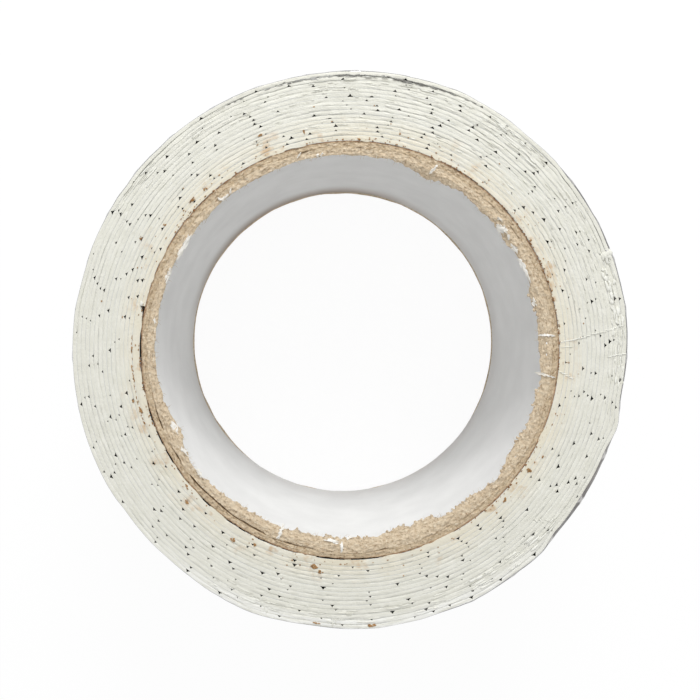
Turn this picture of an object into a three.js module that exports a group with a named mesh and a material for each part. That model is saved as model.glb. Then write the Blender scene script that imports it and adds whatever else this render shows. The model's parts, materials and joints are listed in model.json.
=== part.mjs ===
// A roll of foil-faced butyl sealing tape on a paperboard core, lying on its end face.
// Millimetres, +Z up along the roll's axis. The origin is the centre of the face that it rests on.
// Seen from above, the tape winds outwards clockwise, with its foil side facing out.
import * as THREE from 'three';

// Driving dimensions of the core, from the bore outwards
const rollWidth = 50; // tape and core are slit together, to one width
const boreDiameter = 76.2; // a three-inch core
const liningPly = 0.3; // white paper that lines the bore
const innerBoardPly = 0.9;
const outerBoardPly = 1.3;
const glueLine = 0.05; // between one ply and the next

// Driving dimensions of the tape, from the release liner outwards
const linerThickness = 0.05;
const butylThickness = 0.42;
const foilThickness = 0.08;
const layerClearance = 0.094; // below each of the three layers
const wholeTurns = 15;
const innerEndAngle = THREE.MathUtils.degToRad(168); // where the tape starts, on the core
const tipAngle = THREE.MathUtils.degToRad(21.3); // where its free end lies

// Driving dimensions of the free end, which lifts off the roll about its root
const tailLength = 30;
const rootGap = 0.3; // slit between the winding and the tail

// How finely round forms are faceted
const coreSegments = 72;
const stepsPerTurn = 24;

// Sizes that follow from these
const fullTurn = 2 * Math.PI;
const liningRadius = boreDiameter / 2;
const innerBoardRadius = liningRadius + liningPly + glueLine;
const outerBoardRadius = innerBoardRadius + innerBoardPly + glueLine;
const coreRadius = outerBoardRadius + outerBoardPly;

const linerOffset = layerClearance;
const butylOffset = linerOffset + linerThickness + layerClearance;
const foilOffset = butylOffset + butylThickness + layerClearance;
const tapePitch = foilOffset + foilThickness;

const turnCount = wholeTurns + (innerEndAngle - tipAngle) / fullTurn;
const rollRadius = coreRadius + (turnCount + 1) * tapePitch; // at the free end
const tailTurns = tailLength / (fullTurn * rollRadius);
const tailRoot = turnCount - tailTurns;
const windingEnd = tailRoot - rootGap / (fullTurn * rollRadius);

const kraft = { roughness: 0.95, metalness: 0 };
const materials = {
  lining: new THREE.MeshStandardMaterial({ color: 0xe6e6e6, roughness: 0.6, metalness: 0 }),
  innerBoard: new THREE.MeshStandardMaterial({ color: 0xc9ad8a, ...kraft }),
  outerBoard: new THREE.MeshStandardMaterial({ color: 0xb8987a, ...kraft }),
  liner: new THREE.MeshStandardMaterial({ color: 0xf0f1ee, roughness: 0.35, metalness: 0 }),
  butyl: new THREE.MeshStandardMaterial({ color: 0xe3e2d6, roughness: 0.6, metalness: 0 }),
  foil: new THREE.MeshStandardMaterial({ color: 0xb4b6b8, roughness: 0.3, metalness: 0.9 }),
};

// A tube of board or paper standing on the resting face, as wide as the roll.
function corePly(name, innerRadius, thickness, material) {
  const outerRadius = innerRadius + thickness;
  const profile = [
    new THREE.Vector2(innerRadius, 0),
    new THREE.Vector2(outerRadius, 0),
    new THREE.Vector2(outerRadius, rollWidth),
    new THREE.Vector2(innerRadius, rollWidth),
    new THREE.Vector2(innerRadius, 0),
  ];
  const tube = new THREE.LatheGeometry(profile, coreSegments).rotateX(Math.PI / 2);
  const mesh = new THREE.Mesh(tube, material);
  mesh.name = name;
  return mesh;
}

// A point on the spiral, a given height above the foot of its turn. The turns are counted from the
// tape's inner end. The flats of the faceted spiral touch the true one, so turns never bite.
function spiralPoint(turn, height) {
  const angle = innerEndAngle - turn * fullTurn;
  const facetShare = (turn * stepsPerTurn) % 1;
  const fromFlatMiddle = ((facetShare - 0.5) * fullTurn) / stepsPerTurn;
  const radius = (coreRadius + turn * tapePitch + height) / Math.cos(fromFlatMiddle);
  return new THREE.Vector2(radius * Math.cos(angle), radius * Math.sin(angle));
}

// The turns at which a strip has a cross-section: its two ends and each corner of the facets between.
function stationsBetween(firstTurn, lastTurn) {
  const stations = [firstTurn];
  const leastStep = 0.01 / stepsPerTurn;
  for (let step = Math.ceil(firstTurn * stepsPerTurn); step < lastTurn * stepsPerTurn; step++) {
    const turn = step / stepsPerTurn;
    if (turn - firstTurn > leastStep && lastTurn - turn > leastStep) stations.push(turn);
  }
  stations.push(lastTurn);
  return stations;
}

// One unbroken strip, wound edge-on: a rectangle swept along the spiral and closed at both ends.
function woundStrip(name, offset, thickness, firstTurn, lastTurn, material) {
  const stations = stationsBetween(firstTurn, lastTurn);
  const positions = [];
  for (const turn of stations) {
    const inner = spiralPoint(turn, offset);
    const outer = spiralPoint(turn, offset + thickness);
    positions.push(inner.x, inner.y, 0, outer.x, outer.y, 0);
    positions.push(outer.x, outer.y, rollWidth, inner.x, inner.y, rollWidth);
  }
  const corners = 4;
  const triangles = [0, 2, 1, 0, 3, 2];
  for (let i = 0; i < stations.length - 1; i++) {
    for (let side = 0; side < corners; side++) {
      const here = i * corners + side;
      const beside = i * corners + ((side + 1) % corners);
      triangles.push(here, beside, here + corners, beside, beside + corners, here + corners);
    }
  }
  const end = (stations.length - 1) * corners;
  triangles.push(end, end + 1, end + 2, end, end + 2, end + 3);

  const strip = new THREE.BufferGeometry();
  strip.setAttribute('position', new THREE.Float32BufferAttribute(positions, 3));
  strip.setIndex(triangles);
  strip.computeVertexNormals();
  const mesh = new THREE.Mesh(strip, material);
  mesh.name = name;
  return mesh;
}

// The least distance between one turn's outer face and the next turn's inner face, on points taken at
// the corners and the middles of the facets.
function leastSelfGap(offset, thickness, firstTurn, lastTurn) {
  const turns = [];
  const sampleStep = 1 / (2 * stepsPerTurn);
  for (let turn = firstTurn; turn <= lastTurn; turn += sampleStep) turns.push(turn);
  const outerFace = turns.map((turn) => spiralPoint(turn, offset + thickness));
  const innerFace = turns.map((turn) => spiralPoint(turn, offset));
  const halfTurn = 0.5;
  let least = Infinity;
  turns.forEach((turn, i) => {
    turns.forEach((other, j) => {
      if (other - turn > halfTurn) least = Math.min(least, outerFace[i].distanceTo(innerFace[j]));
    });
  });
  return least;
}

// The three layers of the tape, over one stretch of the spiral
const layers = [
  { name: 'liner', offset: linerOffset, thickness: linerThickness },
  { name: 'butyl', offset: butylOffset, thickness: butylThickness },
  { name: 'foil', offset: foilOffset, thickness: foilThickness },
];

function tapeStretch(nameOf, firstTurn, lastTurn) {
  const stretch = new THREE.Group();
  for (const { name, offset, thickness } of layers) {
    stretch.add(woundStrip(nameOf(name), offset, thickness, firstTurn, lastTurn, materials[name]));
  }
  return stretch;
}

const core = new THREE.Group();
core.add(corePly('core_lining', liningRadius, liningPly, materials.lining));
core.add(corePly('core_inner_board', innerBoardRadius, innerBoardPly, materials.innerBoard));
core.add(corePly('core_outer_board', outerBoardRadius, outerBoardPly, materials.outerBoard));

const winding = tapeStretch((layer) => `${layer}_winding`, 0, windingEnd);
const tail = tapeStretch((layer) => `tail_${layer}`, tailRoot, turnCount);

for (const { name, offset, thickness } of layers) {
  const gap = leastSelfGap(offset, thickness, 0, windingEnd);
  console.log(`${name}_winding: least gap between its turns ${gap.toFixed(3)} mm`);
}
const hinge = spiralPoint(tailRoot, foilOffset + foilThickness);
console.log(`tail root, on the foil: x ${hinge.x.toFixed(3)}, y ${hinge.y.toFixed(3)} mm`);

const tapeRoll = new THREE.Group();
tapeRoll.add(core, winding, tail);

export default tapeRoll;
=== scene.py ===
# %% [markdown]
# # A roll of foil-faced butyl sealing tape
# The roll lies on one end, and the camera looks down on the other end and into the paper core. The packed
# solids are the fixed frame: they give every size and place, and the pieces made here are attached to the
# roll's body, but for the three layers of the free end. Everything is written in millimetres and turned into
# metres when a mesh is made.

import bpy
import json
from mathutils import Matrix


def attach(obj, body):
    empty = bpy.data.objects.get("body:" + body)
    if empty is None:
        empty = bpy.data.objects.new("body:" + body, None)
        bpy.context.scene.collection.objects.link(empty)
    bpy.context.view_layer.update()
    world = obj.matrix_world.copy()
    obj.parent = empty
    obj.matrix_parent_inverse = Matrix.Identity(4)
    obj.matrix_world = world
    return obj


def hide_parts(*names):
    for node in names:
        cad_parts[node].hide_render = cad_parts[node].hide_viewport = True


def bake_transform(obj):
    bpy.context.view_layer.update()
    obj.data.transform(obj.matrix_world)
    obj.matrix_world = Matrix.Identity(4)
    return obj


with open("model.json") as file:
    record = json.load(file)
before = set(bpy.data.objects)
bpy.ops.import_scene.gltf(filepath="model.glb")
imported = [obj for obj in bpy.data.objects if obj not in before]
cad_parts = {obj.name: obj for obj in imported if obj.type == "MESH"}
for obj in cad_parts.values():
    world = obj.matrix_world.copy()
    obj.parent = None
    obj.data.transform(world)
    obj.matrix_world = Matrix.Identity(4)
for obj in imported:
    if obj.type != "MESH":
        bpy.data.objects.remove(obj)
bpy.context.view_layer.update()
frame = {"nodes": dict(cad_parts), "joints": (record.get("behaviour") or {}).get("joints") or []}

# %% [markdown]
# The solids already hold the roll's measures. A tube's radii are the least and greatest distance of its
# corners from the axis, so they can be read from the mesh and needn't be typed again.

# %% Measure the core
import json
import math

import bmesh
import bpy
import numpy as np
from mathutils import Vector

MM = 0.001


def read_values(items, key, width=1, kind=np.float32):
    """One property of all the corners or faces of a mesh, as an array."""
    values = np.empty(width * len(items), kind)
    items.foreach_get(key, values)
    return values.reshape(-1, width) if width > 1 else values


def polar_corners(node):
    x, y, z = read_values(frame["nodes"][node].data.vertices, "co", 3).astype(float).T / MM
    return np.hypot(x, y), np.arctan2(y, x), z


def tube_radii(node):
    radii = polar_corners(node)[0]
    return radii.min(), radii.max()


roll_width = polar_corners("core_lining")[2].max()
bore_radius, lining_back = tube_radii("core_lining")
inner_board_back = tube_radii("core_inner_board")[1]
outer_board_foot, core_radius = tube_radii("core_outer_board")
print(f"width {roll_width:.2f}, bore radius {bore_radius:.2f}, core radius {core_radius:.2f} mm")

# %% [markdown]
# The tape is a spiral. Its inner end, on the core, is the wound foil's corner nearest to the axis. One turn
# further out on the same ray lies the next corner, and that distance is the pitch. The free end's root is
# the hinge of its joint, and its tip is the far edge of its foil. Seen from above it winds out clockwise.

# %% Measure the spiral
FULL_TURN = 2 * math.pi
flats_per_turn = 24  # of the solid spiral
same_ray = 0.001  # radians

foil_radii, foil_angles, _ = polar_corners("foil_winding")
inner_end_angle = foil_angles[foil_radii.argmin()]
on_ray = np.abs(foil_angles - inner_end_angle) < same_ray
ray = np.unique(foil_radii[on_ray].round(3))
tape_pitch = (ray[2] - ray[0]) * math.cos(FULL_TURN / flats_per_turn / 2)

hinge = Vector(frame["joints"][0]["pos_m"]) / MM
root_angle = math.atan2(hinge.y, hinge.x)
tip_angle = polar_corners("tail_foil")[1].min()
whole_turns = round((hinge.length - core_radius) / tape_pitch - 1)
root_turn = whole_turns + (inner_end_angle - root_angle) / FULL_TURN
tip_turn = whole_turns + (inner_end_angle - tip_angle) / FULL_TURN
roll_radius = core_radius + (tip_turn + 1) * tape_pitch
print(f"pitch {tape_pitch:.3f} mm, root at {root_turn:.3f} turns, tip at {tip_turn:.3f} turns")

# %% [markdown]
# Handling has left its marks at certain places round the roll. A mark is a bell, highest at one angle, or a
# stretch, level between two angles and eased at both ends. Angles are in degrees, counted anticlockwise
# from the right of the picture. Weights could be painted on a mesh by hand instead, but every layer would
# need its own. Here a shape is a short list of marks, each with its height in millimetres.

# %% Marks round the roll
def ease(low, high, value):
    share = np.clip((value - low) / (high - low), 0, 1)
    return share * share * (3 - 2 * share)


def bell(angle, centre, half_width):
    """1 at an angle in degrees, falling to 0 at half_width degrees on either side."""
    off = np.abs((np.degrees(angle) - centre + 180) % 360 - 180)
    return ease(half_width, 0, off)


def stretch(angle, first, last, soft, soft_last=None):
    """1 between two angles in degrees, counted anticlockwise, with some degrees of ease at each end."""
    past = (np.degrees(angle) - first) % 360
    span = (last - first) % 360
    return ease(0, soft, past) * ease(span, span - (soft_last or soft), past)


def bells(angle, marks):
    """The sum of marks that are (height, centre, half width)."""
    return sum(height * bell(angle, *where) for height, *where in marks)


def stretches(angle, marks):
    """The sum of marks that are (height, first, last, ease), or have another ease for the last end."""
    return sum(height * stretch(angle, *where) for height, *where in marks)


print("a bell and its two sides:", bell(np.radians([85.0, 90.0, 95.0]), 90, 10).round(2))

# %% [markdown]
# Nothing on a handled roll is quite even, so most shapes below add a little noise. A lattice of fixed
# pseudo-random values, eased between its points, gives the same bumps on every run. Blender has noise
# textures too, but a displaced mesh would need a modifier, and here the noise moves points before meshing.
# In the sums below, the number before a noise is its height in millimetres, the next one in it says how many
# lumps there are or how long they are, and the one after that is its seed.

# %% Noise
def lattice(u, v, seed, period=None):
    """Smooth noise from -1 to 1. One lattice step is one unit; period makes u join up with itself."""
    def value(i, j):
        i = np.mod(i, period) if period else i
        scatter = np.sin(i * 127.1 + j * 311.7 + seed * 74.7) * 43758.5453  # large, unrelated factors
        return 2 * (scatter - np.floor(scatter)) - 1
    i, j = np.floor(u), np.floor(v)
    du, dv = ease(0, 1, u - i), ease(0, 1, v - j)
    near = value(i, j) * (1 - du) + value(i + 1, j) * du
    far = value(i, j + 1) * (1 - du) + value(i + 1, j + 1) * du
    return near * (1 - dv) + far * dv


def ring_noise(angle, lumps, seed, v=0.0):
    """Noise that runs once round the roll, with a given number of lumps."""
    return lattice(np.mod(angle, FULL_TURN) / FULL_TURN * lumps, v + 0 * angle, seed, lumps)


print("noise at three places:", lattice(np.array([0.5, 1.5, 2.5]), np.zeros(3), 1).round(2))

# %% [markdown]
# Textures for the exported model are painted on a flat map. Blender can unwrap a mesh by itself, but a roll
# has an obvious layout: the two end faces as discs in the lower half of the map, and the walls unrolled
# in the upper half.

# %% Texture map
disc_on_map = 0.24  # radius of a disc, on a map one unit wide
map_radius = 1.03 * roll_radius  # the dressed roll is a little larger than the solids
least_slope = 0.35  # a face that looks up or down by less is a wall


def lay_out_texture_map(mesh):
    disc = disc_on_map / (map_radius * MM)
    corner_of = read_values(mesh.loops, "vertex_index", kind=np.int32)
    x, y, z = read_values(mesh.vertices, "co", 3)[corner_of].T
    sides = read_values(mesh.polygons, "loop_total", kind=np.int32)
    up = np.repeat(read_values(mesh.polygons, "normal", 3)[:, 2], sides)
    flat = np.abs(up) > least_slope
    unrolled = np.mod(np.arctan2(y, x), FULL_TURN) / FULL_TURN
    u = np.where(flat, np.where(up > 0, 0.25, 0.75) + disc * x, 0.02 + 0.96 * unrolled)
    v = np.where(flat, 0.25 + disc * y, 0.52 + 0.46 * z / (roll_width * MM))
    layer = mesh.uv_layers.new(name="OFBake")
    layer.data.foreach_set("uv", np.stack([u, v], 1).astype(np.float32).ravel())


print(f"a disc on the texture map for radii up to {map_radius:.1f} mm")

# %% [markdown]
# Each piece below is a grid of points: rows along the piece, and a loop of corners across it. One
# helper skins such a grid with quads, closes its ends and sets its finish. Blender could loft the same forms
# from curves, but a grid lets every corner be moved by the noise before the mesh is made.

# %% Skin a grid of points
def polar(radius, angle, z):
    radius, angle, z = np.broadcast_arrays(radius, angle, z)
    return np.stack([radius * np.cos(angle), radius * np.sin(angle), z], axis=-1)


def smooth_mesh(name, corners, faces, finishes, finish_of=None):
    """A mesh from corners in millimetres, with smooth faces that all look outwards."""
    mesh = bpy.data.meshes.new(name)
    mesh.from_pydata((corners * MM).tolist(), [], faces)
    if finish_of is not None:
        chosen = np.zeros(len(mesh.polygons), np.int32)
        chosen[: finish_of.size] = finish_of.ravel()
        mesh.polygons.foreach_set("material_index", chosen)
    work = bmesh.new()
    work.from_mesh(mesh)
    bmesh.ops.recalc_face_normals(work, faces=work.faces)
    work.to_mesh(mesh)
    work.free()
    for finish in finishes:
        mesh.materials.append(finish)
    mesh.polygons.foreach_set("use_smooth", np.ones(len(mesh.polygons), bool))
    return mesh


def put_in_scene(name, data):
    thing = bpy.data.objects.new(name, data)
    bpy.context.scene.collection.objects.link(thing)
    return thing


def skin(name, grid, finishes, ring=False, finish_of=None, sharp=50):
    """A piece over grid[row, corner], closed across each row. ring also joins the last row to the first."""
    rows, corners = grid.shape[:2]
    index = np.arange(rows * corners).reshape(rows, corners)
    here = index if ring else index[:-1]
    after = np.roll(index, -1, 0) if ring else index[1:]
    quads = np.stack([here, np.roll(here, -1, 1), np.roll(after, -1, 1), after], -1)
    faces = quads.reshape(-1, 4).tolist()
    if not ring:
        faces += [index[0].tolist(), index[-1].tolist()]
    mesh = smooth_mesh(name, grid.reshape(-1, 3), faces, finishes, finish_of)
    mesh.set_sharp_from_angle(angle=math.radians(sharp))
    lay_out_texture_map(mesh)
    return put_in_scene(name, mesh)


print("a point of the core at a quarter turn:", polar(core_radius, FULL_TURN / 4, 0.0).round(2))

# %% [markdown]
# ## Finishes
# Each finish is a tree of nodes. They could be joined by hand in the shader editor, but a script can be read
# and run again. A node takes several lines to make and link, so one class holds short ways to add the kinds
# used here, for the finishes and later for the floor and the sky.

# %% Node helpers
def linear(red, green, blue):
    """An sRGB colour from 0 to 255, as the linear values that shaders use."""
    share = np.array([red, green, blue]) / 255
    return (*np.where(share <= 0.04045, share / 12.92, ((share + 0.055) / 1.055) ** 2.4), 1)


class Nodes:
    """A tree of nodes under construction."""

    def __init__(self, tree):
        self.tree = tree

    def node(self, kind, **settings):
        made = self.tree.nodes.new(kind)
        for key, value in settings.items():
            setattr(made, key, value)
        return made

    def link(self, source, socket):
        self.tree.links.new(source, socket)

    def math(self, operation, *values):
        made = self.node("ShaderNodeMath", operation=operation)
        for socket, value in zip(made.inputs, values):
            if isinstance(value, (int, float)):
                socket.default_value = value
            else:
                self.link(value, socket)
        return made.outputs[0]

    def times(self, product, *factors):
        for factor in factors:
            product = self.math("MULTIPLY", product, factor)
        return product

    def between(self, value, low, high, to_low=0.0, to_high=1.0, ramp="LINEAR"):
        made = self.node("ShaderNodeMapRange", interpolation_type=ramp)
        self.link(value, made.inputs["Value"])
        limits = {"From Min": low, "From Max": high, "To Min": to_low, "To Max": to_high}
        for name, number in limits.items():
            made.inputs[name].default_value = number
        return made.outputs["Result"]

    def mix(self, share, first, second):
        made = self.node("ShaderNodeMix", data_type="RGBA")
        self.link(share, made.inputs[0])
        sockets = [socket for socket in made.inputs if socket.type == "RGBA"]
        for socket, colour in zip(sockets, (first, second)):
            if isinstance(colour, tuple):
                socket.default_value = colour
            else:
                self.link(colour, socket)
        return next(socket for socket in made.outputs if socket.type == "RGBA")

    def fade(self, value, low, high, first, second, most=1.0):
        """The first colour where a value is low, with up to a share of the second where it is high."""
        return self.mix(self.between(value, low, high, 0.0, most), first, second)


print("middle grey is", round(linear(128, 128, 128)[0], 3), "in linear values")

# %% [markdown]
# A finish reads the object's own coordinates, so its pattern stays on the piece from every side. Tape is slit
# and wound, so its marks run round the roll: for those the noise is read in polar coordinates, long round the
# roll and short across it. An image could be wrapped round instead, but noise has no seams and no limit of
# detail.

# %% A finish and its patterns
class Finish(Nodes):
    """A Principled material, with the places and patterns of a roll."""

    def __init__(self, name, roughness, metallic=0.0, specular=0.5):
        self.material = bpy.data.materials.new(name)
        self.material.use_nodes = True
        super().__init__(self.material.node_tree)
        self.shader = self.tree.nodes["Principled BSDF"]
        self.shader.inputs["Roughness"].default_value = roughness
        self.shader.inputs["Metallic"].default_value = metallic
        self.shader.inputs["Specular IOR Level"].default_value = specular
        self.place = self.node("ShaderNodeTexCoord").outputs["Object"]

    def axes(self):
        """The three coordinates of a point, in millimetres."""
        parts = self.node("ShaderNodeSeparateXYZ")
        self.link(self.place, parts.inputs[0])
        return [self.math("DIVIDE", part, MM) for part in parts.outputs]

    def joined(self, *coordinates):
        made = self.node("ShaderNodeCombineXYZ")
        for coordinate, socket in zip(coordinates, made.inputs):
            self.link(coordinate, socket)
        return made.outputs[0]

    def polar_place(self, along, across):
        """A place in lumps, one every `along` mm round the roll and every `across` mm out, and the radius."""
        x, y, z = self.axes()
        radius = self.math("SQRT", self.math("ADD", self.times(x, x), self.times(y, y)))
        run = self.times(self.math("ARCTAN2", y, x), core_radius / along)
        return self.joined(run, self.math("DIVIDE", radius, across), self.math("DIVIDE", z, along)), radius

    def wall_place(self, along, across):
        """A place in lumps on the outer wall, one every `along` mm round the roll and `across` mm up."""
        x, y, z = self.axes()
        run = self.times(self.math("ARCTAN2", y, x), roll_radius / along)
        return self.joined(run, self.math("DIVIDE", z, across))

    def noise(self, scale, detail=3.0, place=None):
        """Noise with scale lumps in a metre or, where a place in lumps is given, in one of its units."""
        made = self.node("ShaderNodeTexNoise")
        self.link(place or self.place, made.inputs["Vector"])
        made.inputs["Scale"].default_value = scale
        made.inputs["Detail"].default_value = detail
        return made.outputs["Fac"]

    def attribute(self, name):
        return self.node("ShaderNodeAttribute", attribute_name=name).outputs["Fac"]

    def colour(self, source):
        self.link(source, self.shader.inputs["Base Color"])

    def roughness(self, source):
        self.link(source, self.shader.inputs["Roughness"])

    def relief(self, height, depth_mm, strength=1.0):
        made = self.node("ShaderNodeBump")
        made.inputs["Distance"].default_value = depth_mm * MM
        made.inputs["Strength"].default_value = strength
        self.link(height, made.inputs["Height"])
        self.link(made.outputs[0], self.shader.inputs["Normal"])


print(f"polar patterns run {FULL_TURN * core_radius:.0f} mm round the core")

# %% [markdown]
# Butyl compound is a dull cream rubber. The slitting knife drags it, which leaves whiter smears and faint
# grey streaks along each layer, and handling has smeared the outer laps white at the bottom of the picture.
# Next to the core the compound has yellowed, and rust-brown dust from the board has stained it. All of
# that is colour, so it is painted with noise over one cream, and needs no geometry.

# %% Butyl finish
def make_butyl():
    finish = Finish("butyl_cream", 0.62)
    streak_place, radius = finish.polar_place(5.0, 0.5)
    fine_place, _ = finish.polar_place(1.1, 0.16)
    streaks = finish.noise(1.0, 3.0, streak_place)
    fine = finish.noise(1.0, 2.0, fine_place)
    cream = finish.fade(finish.noise(420.0, 4.0), 0.3, 0.7, linear(219, 218, 206), linear(229, 228, 218))
    cream = finish.fade(streaks, 0.56, 0.8, cream, linear(205, 205, 196), 0.5)
    cream = finish.fade(fine, 0.6, 0.82, cream, linear(243, 243, 238), 0.75)
    outer_laps = finish.between(radius, roll_radius - 2.9, roll_radius - 1.5)
    at_bottom = finish.between(finish.axes()[1], -0.6 * roll_radius, -0.85 * roll_radius)
    smear = finish.times(outer_laps, at_bottom, finish.between(streaks, 0.36, 0.56, 0.1, 0.85))
    cream = finish.mix(smear, cream, linear(242, 242, 238))
    near_core = finish.between(radius, core_radius + 0.2, core_radius + 5.5, 1.0, 0.0)
    yellowed = finish.times(near_core, finish.between(finish.noise(160.0), 0.3, 0.6, 0.2, 0.75))
    cream = finish.mix(yellowed, cream, linear(225, 216, 192))
    rust = finish.times(finish.between(finish.noise(330.0, 5.0), 0.58, 0.72), near_core, 0.8)
    finish.colour(finish.mix(rust, cream, linear(190, 150, 98)))
    finish.relief(finish.math("ADD", finish.times(fine, 0.7), finish.noise(2600.0, 2.0)), 0.09)
    return finish.material


butyl_finish = make_butyl()
print("made", butyl_finish.name)

# %% [markdown]
# The face of the tape is soft aluminium foil on a film. It is bright but scuffed: a metal with fine streaks
# from the rolling mill, uneven roughness and crinkles. Two numbers kept on its mesh, made further down, say
# where an embossed ridge stands, which is painted lighter, partly as polish and partly as a painted
# highlight, and where a dark reflection is painted on the upper edge, with painted highlights on its ridges.
# A painted mask could say the same, but numbers on the mesh follow its ridges exactly. The foil's cut edge
# shows as a grey line between the layers, dulled by the compound.

# %% Foil finishes
def make_foil():
    finish = Finish("foil_silver", 0.3, 0.85)
    scuff, dull = finish.noise(240.0, 5.0), finish.noise(900.0, 3.0)
    ridge, dark_reflection = finish.attribute("ridge"), finish.attribute("dark_reflection")
    streaks = finish.noise(1.0, 4.0, finish.wall_place(22.0, 0.5))
    silver = finish.fade(streaks, 0.35, 0.65, linear(170, 171, 174), linear(198, 199, 201))
    silver = finish.fade(scuff, 0.45, 0.75, silver, linear(176, 176, 178), 0.6)
    # ridges painted lighter: partly polish, partly a painted highlight in place of the reflections that a
    # white sky doesn't give
    silver = finish.fade(ridge, 0.3, 0.9, silver, linear(218, 218, 219), 0.4)
    # painted dark reflection at the upper edge, with its ridges painted light as painted highlights
    dark = finish.fade(finish.noise(420.0, 4.0), 0.35, 0.68, linear(62, 57, 54), linear(108, 101, 95))
    dark = finish.fade(ridge, 0.35, 0.8, dark, linear(192, 190, 187), 0.9)
    finish.colour(finish.mix(dark_reflection, silver, dark))
    finish.roughness(finish.between(dull, 0.3, 0.7, 0.22, 0.36))
    finish.relief(finish.noise(260.0, 4.0), 0.1, 0.4)
    return finish.material


def make_foil_edge():
    finish = Finish("foil_cut_edge", 0.55, 0.3)
    place, _ = finish.polar_place(6.0, 1.5)
    smear = finish.noise(1.0, 3.0, place)
    finish.colour(finish.fade(smear, 0.42, 0.62, linear(196, 196, 190), linear(224, 223, 212)))
    return finish.material


foil_finish, foil_edge_finish = make_foil(), make_foil_edge()
print("made", foil_finish.name, foil_edge_finish.name)

# %% [markdown]
# The release liner is a thin white film. The inside of a small fold in it is deep and narrow, and hardly any
# light gets out. Tracing that light would take many more samples, so the folds have a dark finish of their
# own.

# %% Liner and shadow finishes
def make_liner():
    finish = Finish("liner_film", 0.35)
    finish.colour(finish.fade(finish.noise(300.0), 0.4, 0.6, linear(232, 233, 229), linear(240, 241, 238)))
    return finish.material


def make_fold_shadow():
    finish = Finish("fold_shadow", 0.9, specular=0.1)
    finish.colour(finish.fade(finish.noise(800.0), 0.4, 0.6, linear(26, 26, 24), linear(44, 43, 40)))
    return finish.material


liner_finish, painted_shade_finish = make_liner(), make_fold_shadow()
print("made", liner_finish.name, painted_shade_finish.name)

# %% [markdown]
# The core is kraft board: brown paper fibres pressed together, coarse where the board was torn. Long fibres
# lie round the core, so the noise is stretched that way, with darker specks and a few pale fibres, and the
# board's outer edge has a ragged rust-brown rim. One function makes the torn board, the whole board and the
# crumbs from three browns each, because they are the same stuff.

# %% Board finishes
def make_kraft(name, pale, brown, dark):
    finish = Finish(name, 0.92, specular=0.2)
    fibre_place, radius = finish.polar_place(0.75, 0.3)
    fibres = finish.noise(1.0, 4.0, fibre_place)
    lumps = finish.noise(1700.0, 5.0)
    specks = finish.noise(2600.0, 2.0)
    board = finish.fade(lumps, 0.33, 0.68, brown, pale)
    board = finish.fade(fibres, 0.52, 0.74, board, dark, 0.75)
    board = finish.fade(specks, 0.62, 0.74, board, linear(236, 226, 207), 0.8)
    rim_begins = finish.between(radius, core_radius - 0.42, core_radius - 0.12)
    rim_ends = finish.between(radius, core_radius + 0.3, core_radius + 0.1)
    rim = finish.times(rim_begins, rim_ends, finish.between(lumps, 0.34, 0.6, 0.15, 0.85))
    board = finish.mix(rim, board, linear(136, 92, 58))
    finish.colour(finish.fade(specks, 0.38, 0.26, board, dark, 0.8))
    finish.relief(finish.math("ADD", fibres, finish.noise(1700.0, 3.0)), 0.3)
    return finish.material


inner_kraft = make_kraft("kraft_torn", linear(224, 208, 182), linear(203, 183, 155), linear(140, 113, 83))
outer_kraft = make_kraft("kraft_board", linear(214, 196, 168), linear(192, 171, 141), linear(120, 93, 66))
rust_finish = make_kraft("rust_crumb", linear(190, 152, 106), linear(158, 118, 76), linear(104, 76, 50))
print("made", inner_kraft.name, outer_kraft.name, rust_finish.name)

# %% [markdown]
# The bore is lined with smooth white paper, and torn bits of that paper are rougher. Towards the far end of
# the bore the lining is painted darker and brownish, most on the wall that is turned away from the lamp. This
# is painted shade deep in the bore, a colour that fades up the wall.

# %% Paper finishes
# how far up the bore, and towards which side, the painted shade reaches
bore_shade_height = 12.0
bore_shade_side = math.radians(112)


def make_paper(name, colour, shade, grain_mm, painted_shade=None):
    finish = Finish(name, 0.7, specular=0.25)
    paper = finish.fade(finish.noise(140.0, 4.0), 0.35, 0.65, shade, colour)
    finish.colour(painted_shade(finish, paper) if painted_shade else paper)
    finish.relief(finish.noise(1400.0, 3.0), grain_mm)
    return finish.material


def painted_bore_shade(finish, paper):
    # painted shade: darker and brownish towards the far end of the bore, most on the wall turned from the
    # lamp
    x, y, z = finish.axes()
    towards = finish.math("ADD", finish.times(x, math.cos(bore_shade_side)), finish.times(y, math.sin(bore_shade_side)))
    on_side = finish.between(towards, 0.5 * bore_radius, 0.9 * bore_radius, 0.15, 0.85)
    low_down = finish.between(z, bore_shade_height, 0.0, ramp="SMOOTHSTEP")
    return finish.mix(finish.times(low_down, on_side), paper, linear(165, 148, 134))


lining_finish = make_paper("lining_white", linear(239, 239, 238), linear(233, 233, 232), 0.012, painted_bore_shade)
torn_finish = make_paper("torn_white_paper", linear(246, 244, 239), linear(232, 228, 219), 0.05)
print("made", lining_finish.name, torn_finish.name)

# %% [markdown]
# ## The wound tape
# Handling has pushed the outer turns out of round: they bulge where the winding has come loose, and at one
# place a knock has pressed the upper edge in. The shape could be sculpted, or bent with a lattice modifier.
# Here one function gives the push for any point, and every layer asks it, so the layers move together and
# never cut through each other.

# %% How handling has pushed the tape
loose_depth = 4.6  # the turns this near to the outside have moved
shingled_part = (345, 130, 25)  # where the slit edges overlap like shingles

loose_bells = (
    (0.28, 248, 9), (-0.14, 263, 9), (0.14, 276, 5), (0.2, 296, 7), (0.2, 302, 12), (0.34, 312, 6),
    (-0.22, 348, 6), (-0.32, 49, 8), (0.2, 66, 9), (-0.2, 165, 8), (0.1, 208, 8),
)
loose_stretches = (
    (-0.17, 211, 233, 5), (0.4, 232, 317, 9, 4), (0.74, 312, 353, 5, 10),
    (0.78, 346, math.degrees(tip_angle), 24, 1.0),
)
rolled_stretches = ((0.3, 342, 46, 9), (0.12, 56, 156, 8), (0.26, 284, 318, 8))


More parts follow.
